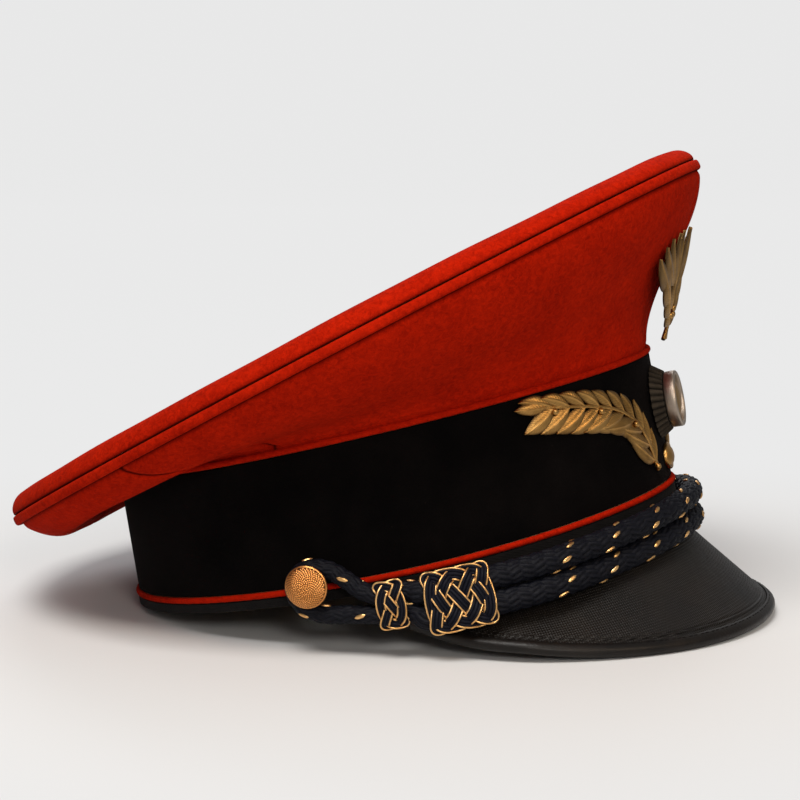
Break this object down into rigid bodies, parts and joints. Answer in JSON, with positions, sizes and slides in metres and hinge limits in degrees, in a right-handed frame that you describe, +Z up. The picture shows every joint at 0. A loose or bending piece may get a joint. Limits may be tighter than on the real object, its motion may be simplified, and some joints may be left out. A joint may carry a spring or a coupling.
{
  "type": "military peaked cap",
  "caption": "Peaked uniform cap with a raked oval crown, velvet band, curved visor, paired chin cords with sliding knots, side buttons and leaf-spray badges.",
  "frame": {"origin": "centre of the bounding box's footprint, on the table that the cap rests on", "axes": "+X to the front (visor), +Y to the wearer's left, +Z up from the table; the cap rests on the rear of its band and its visor rim, so the band is tipped nose-up by 11 degrees"},
  "size_m": [0.287, 0.245, 0.1689],
  "materials": {
    "red_felt": "napped wool",
    "black_velvet": "velvet",
    "black_cloth": "matt",
    "red_piping": "wool-covered cord",
    "canvas": "coarse",
    "lining_satin": "satin",
    "clear_shield": "clear film",
    "board": "fibre board",
    "sweat_leather": "smooth, semi-matt",
    "ribbon": "ribbed",
    "visor_board": "woven-embossed, semi-gloss",
    "visor_under": "embossed, matt",
    "visor_binding": "semi-gloss",
    "chin_cord": "braided, with metal thread flecks",
    "knot_cord": "braided, gold thread edges",
    "button_brass": "pebbled, coppery",
    "badge_brass": "stamped, ribbed, satin",
    "prong_brass": "plain",
    "silver": "aged silver",
    "dark_brass": "satin",
    "pleats": "pleated",
    "spring_steel": "plain"
  },
  "bodies": {
    "cap": {"crown_top": "red_felt", "crown_front_right": "red_felt", "crown_front_left": "red_felt", "crown_rear_right": "red_felt", "crown_rear_left": "red_felt", "crown_welt": "red_felt", "crown_hoop": "spring_steel", "crown_interlining": "canvas", "front_stiffener": "canvas", "lining_side": "lining_satin", "lining_top": "lining_satin", "sweat_shield": "clear_shield", "band_stiffener": "board", "band_cover": "black_velvet", "band_hem": "black_cloth", "upper_piping": "red_piping", "lower_piping": "red_piping", "sweatband": "sweat_leather", "sweatband_bow": "ribbon", "visor": "visor_board", "visor_lining": "visor_under", "visor_binding": "visor_binding", "chin_cord_upper": "chin_cord", "chin_cord_lower": "chin_cord", "right_cord_loop": "chin_cord", "left_cord_loop": "chin_cord", "right_fixed_knot": "knot_cord", "left_fixed_knot": "knot_cord", "crown_badge": "badge_brass", "crown_badge_prongs": "prong_brass", "band_badge_right": "badge_brass", "band_badge_left": "badge_brass", "band_badge_centre": "badge_brass", "rosette_pleats": "pleats", "rosette_cup": "silver", "rosette_boss": "dark_brass", "rosette_pin": "prong_brass", "rosette_pin_clip": "spring_steel"},
    "right_sliding_knot": {"right_sliding_knot": "knot_cord"},
    "left_sliding_knot": {"left_sliding_knot": "knot_cord"},
    "right_button": {"right_button": "button_brass", "right_button_clip": "spring_steel"},
    "left_button": {"left_button": "button_brass", "left_button_clip": "spring_steel"}
  },
  "joints": [
    {"name": "left_knot_slide", "type": "hinge", "parent": "cap", "child": "left_sliding_knot", "pos_m": [-0.00437, -0.05301, 0.01179], "axis": [0.1908, 0, -0.9816], "range_deg": [0, 3.5]},
    {"name": "right_knot_slide", "type": "hinge", "parent": "cap", "child": "right_sliding_knot", "pos_m": [-0.00437, 0.05301, 0.01179], "axis": [-0.1908, 0, 0.9816], "range_deg": [0, 3.5]},
    {"name": "left_button_turn", "type": "hinge", "parent": "cap", "child": "left_button", "pos_m": [-0.00587, 0.08555, 0.02495], "axis": [-0.0079, 1, -0.0015], "continuous": true},
    {"name": "right_button_turn", "type": "hinge", "parent": "cap", "child": "right_button", "pos_m": [-0.00587, -0.08555, 0.02495], "axis": [-0.0079, -1, -0.0015], "continuous": true}
  ]
}
